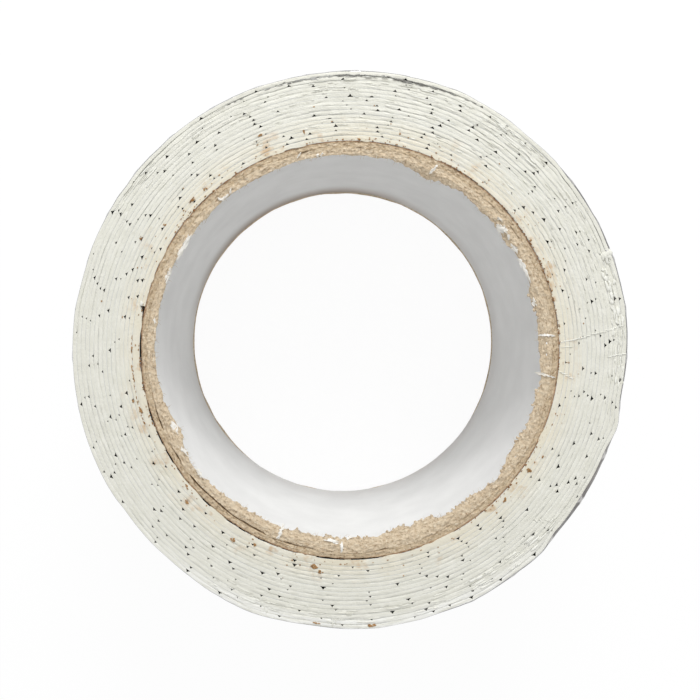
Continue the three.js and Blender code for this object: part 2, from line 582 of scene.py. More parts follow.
def loosened(radius, angle):
    """How far handling has pushed the tape outwards or wavy."""
    bulge = 0.15 + bells(angle, loose_bells) + stretches(angle, loose_stretches)
    bulge = bulge + 0.06 * stretch(angle, 118, 152, 8) * ring_noise(angle, 130, 5)
    bulge = bulge + 0.07 * stretch(angle, 60, 98, 10) * ring_noise(angle, 90, 6)
    wavy = 0.05 * ring_noise(angle, 34, 3, radius / 2.8) + 0.02 * ring_noise(angle, 120, 4, radius / 1.6)
    shingles = 0.07 * ring_noise(angle, 150, 8, radius / 1.4)
    shingles = shingles + 0.045 * ring_noise(angle, 270, 10, radius / 0.9)
    wavy = wavy + stretch(angle, *shingled_part) * shingles
    outer = ease(roll_radius - loose_depth, roll_radius - 0.7, radius)
    return outer * bulge + ease(core_radius, core_radius + 1.5, radius) * wavy


def knocked_in(radius, angle, z):
    """How far the edges of the outer turns are pressed back: a little everywhere, most at the knock."""
    rolled = 0.16 + 0.08 * ring_noise(angle, 40, 7) + stretches(angle, rolled_stretches)
    rolled = rolled * ease(roll_width - 0.8, roll_width, z)
    knock = 1.15 * stretch(angle, 312, 346, 7, 9) + 0.2 * bell(angle, 327, 8)
    knock = knock * ease(roll_width - 2.3, roll_width + 0.1, z)
    underside = 0.2 * ease(1.2, 0, z)
    outer = ease(roll_radius - loose_depth, roll_radius - 0.2, radius)
    return outer * (rolled + knock + underside)


print(f"pushed out by {loosened(roll_radius, math.radians(300)):.2f} mm at 300 degrees")

# %% [markdown]
# The tape steps out by one pitch in a turn. A curve object could hold that spiral, but each corner of a layer
# needs the push at its own place, so the path is a function of the turn, the height above the path and z.
# Behind the tape's inner end the first turn stands off the core by one thickness. Soft butyl has filled that
# step, and only a thin dark gap is left.

# %% The tape's path
def angle_at(turn):
    return inner_end_angle - turn * FULL_TURN


def filled_in(turn):
    """How much thicker the first turn is where butyl has filled the step on the core, but for a thin gap."""
    gap = 0.015 + 0.1 * ease(0.63, 0.73, turn) + 0.07 * ease(0.88, 0.98, turn)
    gap = gap + 0.08 * ease(0.28, 0.31, turn) * ease(0.37, 0.34, turn)
    return np.maximum(tape_pitch * turn - gap, 0) * ease(1.0, 0.993, turn)


def core_joint(angle):
    """1 where the tape stands off the core in a dark line, 0 where butyl is pressed against the board."""
    dark_line = stretches(angle, ((1.0, 174, 284, 8), (0.45, 358, 64, 10)))
    return dark_line * ease(-0.7, 0.1, ring_noise(angle, 80, 12) + 0.5 * ring_noise(angle, 300, 14))


def sprung(turn, angle):
    """How far the outermost lap has sprung off the one below, which opens a dark line between them."""
    lap = ease(root_turn - 1, root_turn - 0.98, turn)
    off = stretches(angle, ((0.13, 60, 152, 8), (0.14, 68, 106, 7)))
    return lap * off * (0.5 + 0.5 * ring_noise(angle, 60, 9))


def tape_points(turn, height, z):
    angle = angle_at(turn)
    radius = core_radius + turn * tape_pitch + height + sprung(turn, angle)
    radius = radius + loosened(radius, angle) - knocked_in(radius, angle, z)
    return polar(radius, angle, z)


print("filled in at a half and nine tenths of a turn:", filled_in(np.array([0.5, 0.9])).round(2), "mm")

# %% [markdown]
# The release liner is wrinkled, and each wrinkle holds the layers apart in a small tent. From the end these
# are the dark triangles between the layers. Wrinkles of one turn often press through to the next, so a
# new turn keeps some of the tents below it, a little shifted, and adds its own. Placing hundreds by hand
# would be slow, and even spacing would look printed, so dice with a fixed seed place them.

# %% Place the tents
dice = np.random.default_rng(11)
tent_half_width, tent_height = 0.37, 0.41
tent_spacing = (7, 19)
least_spacing = 3.2
kept_share, drift = 0.4, 1.2  # of the tents in the turn below


def place_tents():
    """(turn, half width in mm, height in mm) of each tent, sorted along the tape."""
    tents, below = [], []
    for whole in range(whole_turns + 1):
        length = FULL_TURN * (core_radius + whole * tape_pitch)
        kept = [share + dice.normal(0, drift) / length for share in below if dice.random() < kept_share]
        fresh, place = [], dice.uniform(0, 12)
        while place < length:
            fresh.append(place / length)
            place += dice.uniform(*tent_spacing)
        shares = []
        for share in sorted(np.mod(kept + fresh, 1)):
            if not shares or (share - shares[-1]) * length > least_spacing:
                shares.append(share)
        below = shares
        for share in shares:
            size = dice.choice([0.5, 0.75, 1.0, 1.2], p=[0.3, 0.32, 0.28, 0.1])
            half = tent_half_width * size * dice.uniform(0.9, 1.25)
            tents.append((whole + share, half, tent_height * size * dice.uniform(0.85, 1.15)))
    return [tent for tent in tents if 1.03 < tent[0] < root_turn - 0.01]


tents = place_tents()
print(len(tents), "tents between the layers")

# %% [markdown]
# A strip needs a cross-section every few degrees, and five more at each tent to draw its triangle. Closer
# sections everywhere would also do it, but with many more faces, so the plain sections near a tent make way
# for its own five.

# %% Stations along the tape
tent_shape = ((-1, 0.0), (-0.45, 0.38), (0, 1.0), (0.45, 0.38), (1, 0.0))  # shares of half width and height
cleared = 1.25  # half widths


def stations_with_tents(first, last, step_degrees):
    """Turns of the cross-sections along a strip, and how far a tent lifts its inner face at each."""
    turns = list(np.arange(first, last, step_degrees / 360)) + [last]
    lift = {}
    for centre, half, height in tents:
        reach = half / (FULL_TURN * (core_radius + centre * tape_pitch))
        if centre - reach <= first or centre + reach >= last:
            continue
        low, high = np.searchsorted(turns, [centre - cleared * reach, centre + cleared * reach])
        turns[low:high] = [centre + part * reach for part, _ in tent_shape]
        lift.update({centre + part * reach: share * height for part, share in tent_shape})
    turns[0], turns[-1] = first, last
    return np.array(turns), np.array([lift.get(turn, 0.0) for turn in turns])


print(len(stations_with_tents(1.0, 2.0, 2.0)[0]), "cross-sections in the liner's second turn")

# %% [markdown]
# The end of the roll is a slit edge. The knife leaves it uneven, by another amount in each layer, and over
# long stretches it has wiped the joints between the layers shut with butyl. Where a joint is open it shows
# as a groove. A bump texture could draw grooves, but not their shadows, so they are in the mesh.

# %% The slit edge
liner_foot, liner_back = 0.006, 0.05  # heights above the tape's path
butyl_foot, butyl_back = 0.052, 0.752
foil_foot, foil_back = 0.756, 0.828


def along_tape(turn):
    return turn * FULL_TURN * (core_radius + turn * tape_pitch / 2)


def along(turn, step, seed):
    """Noise along the tape, one lump every step mm."""
    return lattice(along_tape(turn) / step, 0 * turn, seed)


def shingled(turn):
    """1 where the slit edges overlap like shingles, 0 where the knife cut smoothly."""
    return stretch(angle_at(turn), *shingled_part)


def top_of_layer(turn):
    """The uneven slit edge, up to about 0.1 mm from level, different from one layer to the next."""
    uneven = 0.05 * along(turn, 14, 25) + 0.045 * along(turn, 4.5, 26) + 0.02 * along(turn, 1.3, 27)
    return roll_width - 0.1 + (0.5 + 0.5 * shingled(turn)) * uneven


def open_joint(turn):
    """1 where the joint outside this turn shows as a groove, 0 where the knife has wiped it shut."""
    angle = angle_at(turn)
    loose = stretch(angle, 62, 152, 8) * ease(root_turn - 1.4, root_turn - 1.3, turn)
    loose = loose * ease(-0.5, 0.3, along(turn, 3.3, 31))
    broken = 0.8 * along(turn, 8, 28) + 0.5 * along(turn, 2.2, 32) + 0.16 * stretch(angle, 150, 310, 20)
    wiped = (1 - 0.55 * stretch(angle, 322, 14, 12)) * (0.35 + 0.65 * ease(0.3, 1.8, turn))
    shown = np.maximum(wiped * ease(-0.05, 0.85, broken - 0.12), loose)
    return np.where(turn < 0, core_joint(angle), shown)


print("slit edge of three layers at", top_of_layer(np.array([2.0, 3.0, 4.0])).round(3), "mm")

# %% [markdown]
# The butyl is one strip on its edge, swept along the spiral. A curve with a bevel profile could make it, but
# here each cross-section differs: the top edge is uneven, the two arrises are rounded by different amounts,
# and a tent lifts the inner face. So every section is eight corners of its own, five along the top edge and
# three along the bottom. The knife has also smeared the first turn over the edge of the board.

# %% Wind the butyl
def wound(name, turn, corners, finishes, finish_of=None):
    """A strip along the tape, whose cross-sections have corners given as (height above the path, z)."""
    section = [tape_points(turn, height, z) for height, z in corners]
    return skin(name, np.stack(section, axis=1), finishes, finish_of=finish_of)


def groove(turn):
    return 0.008 + 0.075 * open_joint(turn)


def butyl_strip(name, first, last):
    turn, lift = stations_with_tents(first, last, 0.6)
    low = butyl_foot + lift - filled_in(turn)
    back = butyl_back + 0 * turn
    inner_arris = 0.035 + 0.02 * along(turn, 3.1, 21)
    torn_arris = 0.14 * shingled(turn) * ease(0.1, 0.8, along(turn, 1.2, 23))
    outer_arris = 0.04 + 0.025 * along(turn, 2.3, 22) + torn_arris
    tilt = (0.022 + 0.014 * shingled(turn)) * along(turn, 7, 24)
    top, base = top_of_layer(turn), roll_width - top_of_layer(turn + 40)
    middle = (low + back) / 2 + 0.12 * along(turn, 2.7, 29) * (back - low)
    crown = 0.012 + 0.02 * along(turn, 1.9, 30)
    smear = 0.24 * ease(0.05, 0.8, along(turn, 1.4, 33)) * ease(1.0, 0.98, turn)
    corners = (
        (low - smear, top - groove(turn - 1) - tilt),
        (low + inner_arris - smear, top - tilt),
        (middle, top + crown),
        (back - outer_arris, top + tilt),
        (back, top - groove(turn) + tilt),
        (back, base + 0.06),
        (middle, base - crown),
        (low, base + 0.06),
    )
    return wound(name, turn, corners, [butyl_finish])


butyl_winding = butyl_strip("butyl_layers", 0.0, root_turn)
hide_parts("butyl_winding")
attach(butyl_winding, "roll")
print(butyl_winding.name, len(butyl_winding.data.polygons), "faces")

# %% [markdown]
# The liner follows the inner face of the butyl into every tent, so a tent is a tunnel roofed with film. Its
# faces inside a tent, and where it stands off the core, take the dark finish, which is painted shade, and
# that is what shows from the end. The foil is a plain thin strip for all turns but the last, a little below
# the butyl's edge where the knife has smeared butyl over it. Only their edges show, so four corners to a
# section are enough.

# %% Wind the liner and the inner foil
def liner_strip(name, first, last):
    turn, lift = stations_with_tents(first, last, 2.0)
    lift = lift - filled_in(turn)
    low, back = liner_foot + lift, liner_back + lift
    top = top_of_layer(turn) - 0.025 - 0.11 * open_joint(turn - 1)
    base = roll_width - top
    corners = ((low, top), (back, top), (back, base), (low, base))
    in_tent = (lift[:-1] > 0) | (lift[1:] > 0)
    off_core = (turn < 1) & (core_joint(angle_at(turn)) > 0.5)
    finish_of = np.zeros((len(turn) - 1, 4), int)
    # painted shade: the liner's faces inside the tents and in the gap off the core take the near-black finish
    finish_of[in_tent | off_core[:-1], 3] = 1
    finish_of[in_tent, 0] = 1
    return wound(name, turn, corners, [liner_finish, painted_shade_finish], finish_of)


def foil_strip(name, first, last):
    turn = np.append(np.arange(first, last, 1 / 300), last)
    top = top_of_layer(turn) - 0.015 - 0.09 * open_joint(turn)
    base = roll_width - top
    corners = ((foil_foot, base), (foil_foot, top), (foil_back, top), (foil_back, base))
    return wound(name, turn, corners, [foil_edge_finish])


liner_winding = liner_strip("liner_layers", 0.0, root_turn)
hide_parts("liner_winding")
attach(liner_winding, "roll")
print(liner_winding.name, len(liner_winding.data.polygons), "faces")

foil_winding = foil_strip("foil_layers", 0.0, root_turn - 1)
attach(foil_winding, "roll")
print(foil_winding.name, len(foil_winding.data.polygons), "faces")

# %% [markdown]
# The outermost turn shows the face of the foil, and that face is embossed with crossing lines in diamonds so
# that it drapes without creasing. A bump texture would look the same from afar, but the exported mesh would
# be smooth, so the ridges are in the grid. The height of the ridges and where a dark reflection is painted on
# the edge are kept as attributes of the mesh, which the finish reads.

# %% Embossing of the foil and its painted dark edge
emboss_pitch = 9.6  # between parallel lines, measured round the roll
emboss_rise = 14.0  # how far up a line climbs while it goes one pitch round
emboss_height = 0.11
emboss_width = 0.55


def embossing(run, z):
    """Height of the crossing ridges."""
    height = np.zeros(np.broadcast(run, z).shape)
    for slant in (1, -1):
        phase = np.mod(run / emboss_pitch + slant * z / emboss_rise, 1)
        off = np.minimum(phase, 1 - phase) * emboss_pitch
        height = np.maximum(height, np.exp(-((off / emboss_width) ** 2)))
    return emboss_height * height


def dark_edge_reflection(angle, z, run):
    """1 where a dark reflection is painted on the foil's upper edge: deep at the knock, a thin line beside
    the free end.
    """
    ragged = z + 0.35 * lattice(run / 1.6, 0 * run, 46)
    knock = stretch(angle, 312, 346, 4) * ease(roll_width - 2.3, roll_width - 1.3, ragged)
    line = stretches(angle, ((0.85, 340, 46, 9), (0.7, 286, 314, 6)))
    line = line + 0.55 * stretch(angle, 56, 156, 8) * ease(-0.3, 0.3, ring_noise(angle, 30, 47))
    return np.maximum(knock, line * ease(roll_width - 1.0, roll_width - 0.6, ragged))


print(f"ridges {emboss_height} mm high, {emboss_pitch} mm apart round the roll")

# %% [markdown]
# The foil is a closed sheet: a fine outer face and a plain back, rolled a little inwards along its upper
# edge. A plane with a solidify modifier would give the same thickness. The grid is used because its rows can
# lie closer together at the two edges, where the foil curls and where its dark reflection is painted.

# %% Outer foil
foil_columns_per_turn = 750
edge_rows = np.linspace(0, 0.03, 8)[:-1]
levels = np.concatenate([edge_rows, np.linspace(0.03, 0.97, 95), 1 - edge_rows[::-1]])[None, :]


def foil_face(name, first, last):
    columns = max(8, round((last - first) * foil_columns_per_turn))
    turn = np.linspace(first, last, columns + 1)[:, None]
    top = top_of_layer(turn) - 0.05 - 0.04 * along(turn, 5, 43)
    z = (1 - levels) * (roll_width - top) + levels * top
    rim = ease(0, 0.7, z) * ease(roll_width, roll_width - 0.7, z)
    ends = ease(first, first + 0.004, turn) * ease(last, last - 0.004, turn)
    run = along_tape(turn)
    crinkle = 0.03 * lattice(run / 3.2, z / 4.1, 44) + 0.02 * lattice(run / 1.4, z / 1.7, 45)
    face = tape_points(turn, foil_back + rim * ends * (embossing(run, z) - 0.04 + crinkle), z)
    back = tape_points(turn, foil_foot, z[:, [-1, 0]])
    piece = skin(name, np.concatenate([face, back], axis=1), [foil_finish], sharp=60)
    # ridge holds the embossing's height; the other mark holds where a dark reflection is painted on the edge
    marks = {"ridge": embossing(run, z) / emboss_height, "dark_reflection": dark_edge_reflection(angle_at(turn), z, run)}
    for mark, values in marks.items():
        on_corners = np.zeros((columns + 1, levels.size + 2), np.float32)
        on_corners[:, :-2] = values
        piece.data.attributes.new(mark, "FLOAT", "POINT").data.foreach_set("value", on_corners.ravel())
    return piece


outer_foil = foil_face("foil_face", root_turn - 1, root_turn)
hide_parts("foil_winding")
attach(outer_foil, "roll")
print(outer_foil.name, len(outer_foil.data.polygons), "faces")

# %% [markdown]
# ## The free end
# The last 30 mm of the tape lift off the roll. The foil and the butyl follow the lifting body, and the liner
# peels off at half that angle. The real tape doesn't fold on a line but bends over a few millimetres. Bones
# could bend it. Here the three layers are made as they lie on the roll, and the start and the end of an 8 mm
# bend are found on the foil.

# %% Make the free end
bend_length = 8.0


def on_foil(turn):
    return tape_points(np.array(turn), foil_back, np.array(0.0)) * MM


bend_start = on_foil(root_turn)
bend_end = on_foil(root_turn + bend_length / (FULL_TURN * roll_radius))

tail_butyl = butyl_strip("tail_butyl_layer", root_turn, tip_turn)
tail_foil = foil_face("tail_foil_face", root_turn, tip_turn)
tail_liner = liner_strip("tail_liner_film", root_turn, tip_turn)
for piece, node, body, slot in (
    (tail_butyl, "tail_butyl", "tail", "butyl"),
    (tail_foil, "tail_foil", "tail", "foil"),
    (tail_liner, "tail_liner", "liner_tab", "release_liner"),
):
    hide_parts(node)
    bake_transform(piece)
    print(piece.name, len(piece.data.polygons), "faces, bends to", body)

# %% [markdown]
# ## The core
# The core is three wound plies. Sawing has torn the inner board, so its edge hangs into the bore in a
# ragged lip, widest at the bottom of the picture, and the two boards have come apart along a crack. Sculpting
# would be one way to tear an edge. Here a tear is a radius that changes with the angle, so that both boards
# can follow the same crack.

# %% Tears in the core
lip_bells = (
    (0.95, 278, 40), (-0.7, 216, 9), (0.4, 8, 14), (0.8, 204, 6), (-0.6, 318, 9), (-0.4, 339, 8),
    (0.35, 66, 5), (0.35, 330, 6), (-0.35, 56, 7),
)
wide_cracks = (
    (0.26, 192, 266, 12), (0.2, 274, 306, 9), (0.16, 129, 144, 4), (0.14, 32, 39, 2), (0.14, 99, 107, 2),
)


def lip_reach(angle):
    """How far the torn edge hangs into the bore."""
    main = 0.95 - 0.85 * stretch(angle, 62, 206, 34, 26) + bells(angle, lip_bells)
    torn = 0.3 * (ring_noise(angle, 44, 51) + ring_noise(angle, 105, 52)) + 0.18 * ring_noise(angle, 330, 53)
    return np.maximum(main + torn * (0.55 + 0.45 * main), 0.02)


def lip_drop(overhang):
    """How far the lip droops where it hangs into the bore by some millimetres."""
    return 0.42 * np.maximum(overhang, 0) ** 1.2


def crack_place(angle):
    """Radius of the crack between the two boards."""
    middle = (inner_board_back + outer_board_foot) / 2
    return middle + 0.12 * ring_noise(angle, 60, 56) + 0.05 * ring_noise(angle, 240, 50)


def crack_width(angle):
    broken = ease(-0.5, 0.2, ring_noise(angle, 70, 54))
    uneven = 0.85 + 0.5 * ring_noise(angle, 260, 55)
    return 0.012 + np.maximum(stretches(angle, wide_cracks) * broken * uneven, 0)


def crack_dip(angle):
    """How far a board's end is pulled down beside the crack."""
    return 0.25 * ease(0.03, 0.15, crack_width(angle))


print("lip at the top and bottom:", lip_reach(np.radians([90.0, 270.0])).round(2), "mm into the bore")

# %% [markdown]
# A board is a ring, and a ring is a grid too: one profile repeated round the axis, with fibrous lumps on the
# radius and height of each point. Displacing a plain tube with a texture would move whole faces, and the lip
# would lose its underside. The torn board's profile runs under the lip, down the bore, across the
# bottom, up the crack and back over the top.

# %% Torn inner board
core_steps = 1440
around = (np.arange(core_steps) / core_steps * FULL_TURN)[:, None]


def ring_piece(name, angle, profile, finish, sharp=50):
    """A ring round the axis, from a profile of (radius, z) at each angle."""
    points = [polar(radius, angle, z) for radius, z in profile]
    return skin(name, np.concatenate(points, axis=1), [finish], ring=True, sharp=sharp)


def rough(angle, across, size, seed):
    """Fibrous lumps on a board's end, size in mm."""
    lumps = round(FULL_TURN * core_radius / size)
    return lattice(angle / FULL_TURN * lumps, across / (0.6 * size), seed, lumps)


def board_end(angle, across, seed):
    return 0.12 * rough(angle, across, 1.1, seed) + 0.1 * rough(angle, across, 0.42, seed + 1)


def torn_board():
    inner = bore_radius - lip_reach(around)
    outer = crack_place(around) - crack_width(around) / 2
    share = np.linspace(0, 1, 16)[None, :]
    radius = inner + (outer - inner) * share
    lumps = board_end(around, radius, 57) * (0.6 + 0.4 * ease(0, 0.2, share))
    top = roll_width - 0.16 - lip_drop(bore_radius + 0.1 - radius) + lumps
    top[:, -1:] -= crack_dip(around)
    under = np.minimum(top[:, :1] - 0.28 + 0.1 * rough(around, inner, 0.8, 60), roll_width - 0.4)
    seat = lining_back + 0.02
    base_lip = 0.24 * stretch(around, 322, 240, 24) - 0.06 + 0.1 * ring_noise(around, 70, 61)
    low = np.linspace(0, 1, 5)[None, :]
    base_radius = (bore_radius - base_lip) * (1 - low) + outer * low
    base = 0.12 + 0.5 * board_end(around, base_radius, 62)
    profile = (
        (inner + 0.06, under),
        (seat, roll_width - 1.3 - 0.3 * lip_reach(around)),
        (seat, 1.0),
        (bore_radius - base_lip, base[:, :1] + 0.35),
        (base_radius, base),
        (outer, roll_width / 2),
        (radius[:, ::-1], top[:, ::-1]),
    )
    return ring_piece("core_torn_board", around, profile, inner_kraft, sharp=80)


inner_board = torn_board()
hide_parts("core_inner_board")
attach(inner_board, "roll")
print(inner_board.name, len(inner_board.data.polygons), "faces")

# %% [markdown]
# The outer board is whole: only its sawn ends are rough. Its inner side follows the crack, and its outer edge
# is bruised where the tape stands off it. It is a ring like the torn board, so the same lumps serve.

# %% Whole outer board
def whole_board():
    inner = crack_place(around) + crack_width(around) / 2
    outer = core_radius - 0.07 * core_joint(around) + 0.02 * ring_noise(around, 200, 68) - 0.015
    share = np.linspace(0, 1, 12)[None, :]
    radius = inner + (outer - inner) * share
    top = roll_width - 0.2 + board_end(around, radius, 64)
    top[:, :1] -= crack_dip(around)
    top[:, -1:] -= 0.02 + 0.16 * core_joint(around)
    low = np.linspace(0, 1, 5)[None, :]
    base_radius = inner + (outer - inner) * low
    base = 0.1 + 0.5 * board_end(around, base_radius, 66)
    profile = ((radius, top), (base_radius[:, ::-1], base[:, ::-1]))
    return ring_piece("core_whole_board", around, profile, outer_kraft, sharp=80)


outer_board = whole_board()
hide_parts("core_outer_board")
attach(outer_board, "roll")
print(outer_board.name, len(outer_board.data.polygons), "faces")

# %% [markdown]
# The white lining is wound in a helix from one strip of paper, so a faint seam climbs round the bore where
# the strip's edge overlaps the turn before. The strip could be wound like the tape, but only the seam shows,
# so it is a step of less than a tenth of a millimetre in the bore wall. The ends of the lining are torn, and
# stop a little short of the board.

# %% Bore lining
seam_climb = 92.0  # how far the seam climbs in one turn
seam_step = 0.07
seam_start = 0.27  # of a turn
lining_steps = 720


def bore_lining():
    angle = (np.arange(lining_steps) / lining_steps * FULL_TURN)[:, None]
    top = roll_width - 0.55 + 0.25 * ring_noise(angle, 90, 71) + 0.12 * ring_noise(angle, 300, 72)
    base = 0.35 + 0.2 * ring_noise(angle, 120, 73)
    share = np.linspace(0, 1, 90)[None, :]
    z = base + (top - base) * share
    above = np.mod(angle / FULL_TURN + seam_start - z / seam_climb, 1) * seam_climb
    step = seam_step * ease(0, 0.7, above) * ease(40, 6, above)
    ripple = 0.03 * lattice(angle / FULL_TURN * 60, z / 9, 74, 60)
    profile = ((bore_radius + 0.05 - step + ripple, z), (lining_back - 0.01, top), (lining_back - 0.01, base))
    return ring_piece("bore_lining", angle, profile, lining_finish)


lining = bore_lining()
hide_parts("core_lining")
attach(lining, "roll")
print(lining.name, len(lining.data.polygons), "faces")

# %% [markdown]
# ## Torn paper, fibres and crumbs
# The saw has left flaps of white paper over the board's edge. A cloth simulation could crumple them, but a
# flap is only a few millimetres long, so it is a small sheet with a ragged outline and noise for its
# crumples. Each is placed by the angle where the photograph shows it.

# %% Torn paper flaps
def paper_flap(number, angle, first_radius, last_radius, width, lean, rise):
    """A scrap from one radius to another, width mm wide, leaning sideways by lean mm over its length."""
    length = np.linspace(0, 1, 22)[:, None]
    across = np.linspace(-1, 1, 11)[None, :]
    seed = 100 + 7 * number
    size = abs(last_radius - first_radius) + width
    taper = 0.3 + 0.7 * np.sin(np.pi * (0.08 + 0.84 * length))
    each_side = np.sign(across) * 3.0
    ragged = 1 + 0.55 * lattice(length * 4 * size, each_side, seed)
    ragged = ragged + 0.3 * lattice(length * 11 * size, each_side, seed + 3)
    side = lean * length + width / 2 * across * taper * ragged
    torn_end = 0.3 * (2 * length - 1) * lattice(across * 1.6 * width, 0 * length, seed + 4)
    radius = first_radius + (last_radius - first_radius) * length + torn_end
    crumple = 0.14 * lattice(length * 4 + 3, across * 2.2, seed + 2)
    crumple = crumple + 0.05 * lattice(length * 11, across * 5, seed + 5)
    hang = np.maximum(bore_radius - 0.1 - radius, 0)
    z = roll_width - 0.02 + rise * np.sin(np.pi * length) + crumple - 0.55 * hang
    z = np.minimum(z, roll_width + 0.28)
    place = math.radians(angle) + side / radius
    sheet = np.concatenate([polar(radius, place, z), polar(radius, place, z - 0.04)[:, ::-1]], axis=1)
    return skin(f"torn_paper_{number:02d}", sheet, [torn_finish], sharp=40)


flaps = (  # degrees, first and last radius, width, lean, rise
    (249.0, 39.1, 36.5, 0.75, 0.2, 0.05), (267.6, 39.3, 37.4, 0.5, 0.0, 0.06),
    (265.2, 37.6, 37.1, 2.6, -1.2, 0.1), (147.5, 38.3, 37.7, 4.6, 0.6, 0.08),
    (157.0, 38.4, 37.9, 2.7, 0.4, 0.06), (126.4, 39.0, 38.2, 0.5, 0.7, 0.12),
    (131.0, 39.0, 38.0, 0.7, -0.5, 0.12), (64.8, 39.6, 37.7, 0.6, 0.5, 0.12),
    (38.0, 38.4, 37.0, 2.0, 0.6, 0.12), (40.8, 38.9, 38.3, 1.6, 0.4, 0.1),
    (31.5, 37.9, 37.2, 1.8, 0.3, 0.1), (24.0, 37.7, 37.1, 4.5, 0.4, 0.06),
    (4.0, 39.9, 36.9, 0.5, 0.3, 0.06), (352.3, 40.2, 36.6, 0.45, 0.5, 0.06),
    (220.0, 38.0, 37.6, 2.0, -0.5, 0.1), (203.5, 37.6, 37.0, 2.4, 0.5, 0.06),
    (171.0, 38.6, 38.1, 1.0, 0.4, 0.08), (98.5, 38.5, 38.1, 1.2, 0.3, 0.06),
    (145.0, 38.6, 38.0, 1.2, 0.8, 0.1), (150.5, 38.3, 37.6, 1.0, -0.4, 0.1),
    (129.0, 38.5, 38.1, 1.4, 0.6, 0.05), (211.0, 38.0, 37.5, 1.6, 0.6, 0.08),
    (36.0, 38.2, 37.5, 0.7, -0.6, 0.12), (27.5, 37.7, 37.0, 1.0, 0.4, 0.1),
    (269.5, 37.0, 36.3, 0.7, 0.5, 0.06), (104.0, 39.4, 38.8, 0.5, 0.9, 0.06),
    (14.0, 37.3, 36.8, 1.5, 0.6, 0.05),
)
for number, flap in enumerate(flaps):
    piece = paper_flap(number, *flap)
    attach(piece, "roll")
print(len(flaps), "flaps of torn paper")

# %% [markdown]
# Torn paper is hairy. A hair is a thin three-sided spike that leaves the lip, droops and ends in a point.
# Hair particles would give the same look in a render, but they aren't part of an exported mesh, so the hairs
# are written as small meshes and joined into two pieces, one of board and one of white paper.

# %% Loose fibres
def joined_piece(name, parts, finish):
    """One piece from several (corners, faces) lists, all in millimetres."""
    corners, faces = [], []
    for part_corners, part_faces in parts:
        faces += [[len(corners) + i for i in face] for face in part_faces]
        corners += list(part_corners)
    return put_in_scene(name, smooth_mesh(name, np.array(corners), faces, [finish]))


def fibre(start, direction, length, thickness):
    """A thin three-sided hair that droops and ends in a point."""
    side = np.cross(direction, (0, 0, 1.0))
    side = side / (np.linalg.norm(side) + 1e-9)
    up = np.cross(side, direction)
    corners = []
    for share, girth in ((0, 1.0), (0.35, 0.9), (0.7, 0.7), (1, 0.15)):
        bend = 0.3 * length * share ** 2
        middle = start + length * share * direction + bend * (side - np.array([0, 0, 1]))
        for third in range(3):
            a = third * FULL_TURN / 3
            corners.append(middle + thickness * girth * (np.cos(a) * side + np.sin(a) * up))
    faces = [[0, 1, 2], [9, 11, 10]]
    for row in range(3):
        for k in range(3):
            a, b = 3 * row + k, 3 * row + (k + 1) % 3
            faces.append([a, b, b + 3, a + 3])
    return corners, faces


def lip_fibres(count, thickness):
    parts = []
    for _ in range(count):
        angle = dice.uniform(0, FULL_TURN)
        radius = bore_radius - lip_reach(angle) + dice.uniform(-0.05, 0.5)
        start = polar(radius, angle, roll_width - 0.2 - lip_drop(bore_radius + 0.1 - radius))
        heading = angle + math.pi + dice.normal(0, 1.0)
        direction = np.array([math.cos(heading), math.sin(heading), dice.uniform(0.0, 0.35)])
        parts.append(fibre(start, direction, dice.uniform(0.3, 1.1), thickness))
    return parts


board_fibres = joined_piece("board_fibres", lip_fibres(420, 0.035), inner_kraft)
paper_fibres = joined_piece("paper_fibres", lip_fibres(110, 0.05), torn_finish)
for piece in (board_fibres, paper_fibres):
    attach(piece, "roll")
    print(piece.name, len(piece.data.polygons), "faces")

# %% [markdown]
# Crumbs, chips and squeezed butyl are all lumps that lie on the end face. A lump is a small sphere, flattened
# and pushed in and out by noise. Blender could scatter copies of one lump, but copies look alike, so each
# has its own seed.

# %% Lumps on the end face
ball = bmesh.new()
bmesh.ops.create_icosphere(ball, subdivisions=2, radius=1.0)
ball_corners = np.array([corner.co[:] for corner in ball.verts])
ball_faces = [[corner.index for corner in face.verts] for face in ball.faces]
ball.free()


def lump(radius, angle, length, width, height, seed, sink=0.3, foot=roll_width - 0.06):
    """A lump with its length round the roll, sunk into the face by a share of its height."""
    x, y, z = ball_corners.T
    swell = 1 + 0.45 * lattice(x * 2.1 + seed, y * 2.1 + z, seed)
    shape = ball_corners * swell[:, None] * np.array([width / 2, length / 2, height / 2])
    outwards = (math.cos(angle), math.sin(angle), 0)
    onwards = (-math.sin(angle), math.cos(angle), 0)
    turned = shape @ np.array([outwards, onwards, (0, 0, 1)])
    return turned + polar(radius, angle, foot + height * (0.5 - sink)), ball_faces


def one_of(spreads):
    """One of some stretches of the roll, (first, last) in degrees."""
    return spreads[dice.integers(len(spreads))] if len(spreads) > 1 else spreads[0]


print("a lump has", len(ball_faces), "faces")

# %% [markdown]
# Crumbs of the sawn board stick to the soft butyl. Most lie on the first few layers, where they also follow
# the core and one joint in dark lines. The largest are put where the photograph shows them, each as a
# cluster, because a crumb that is pressed on breaks up. The rest are strewn by the dice.

# %% Crumbs of board on the butyl
large_crumbs = (  # degrees, radius, length, width
    (223.0, 43.2, 0.75, 0.55), (238.4, 43.3, 0.6, 0.7), (260.8, 42.6, 1.1, 0.6), (262.6, 43.5, 0.7, 0.5),
    (315.8, 41.8, 0.7, 0.45), (326.0, 41.9, 0.7, 0.7), (331.0, 42.8, 0.6, 0.35), (152.0, 46.1, 0.75, 0.4),
    (196.2, 42.3, 0.8, 0.55), (193.3, 43.2, 0.8, 0.3), (112.7, 45.2, 0.7, 0.5), (137.0, 42.2, 1.6, 0.25),
    (244.0, 42.0, 0.5, 0.4), (274.5, 53.6, 1.2, 0.5), (263.0, 53.4, 1.0, 0.35), (131.8, 42.0, 0.5, 0.45),
    (146.0, 43.4, 0.5, 0.4), (101.8, 43.1, 0.25, 0.7), (77.0, 43.2, 0.3, 0.6), (219.6, 41.3, 0.7, 0.5),
)
bits_in_crumb = 7


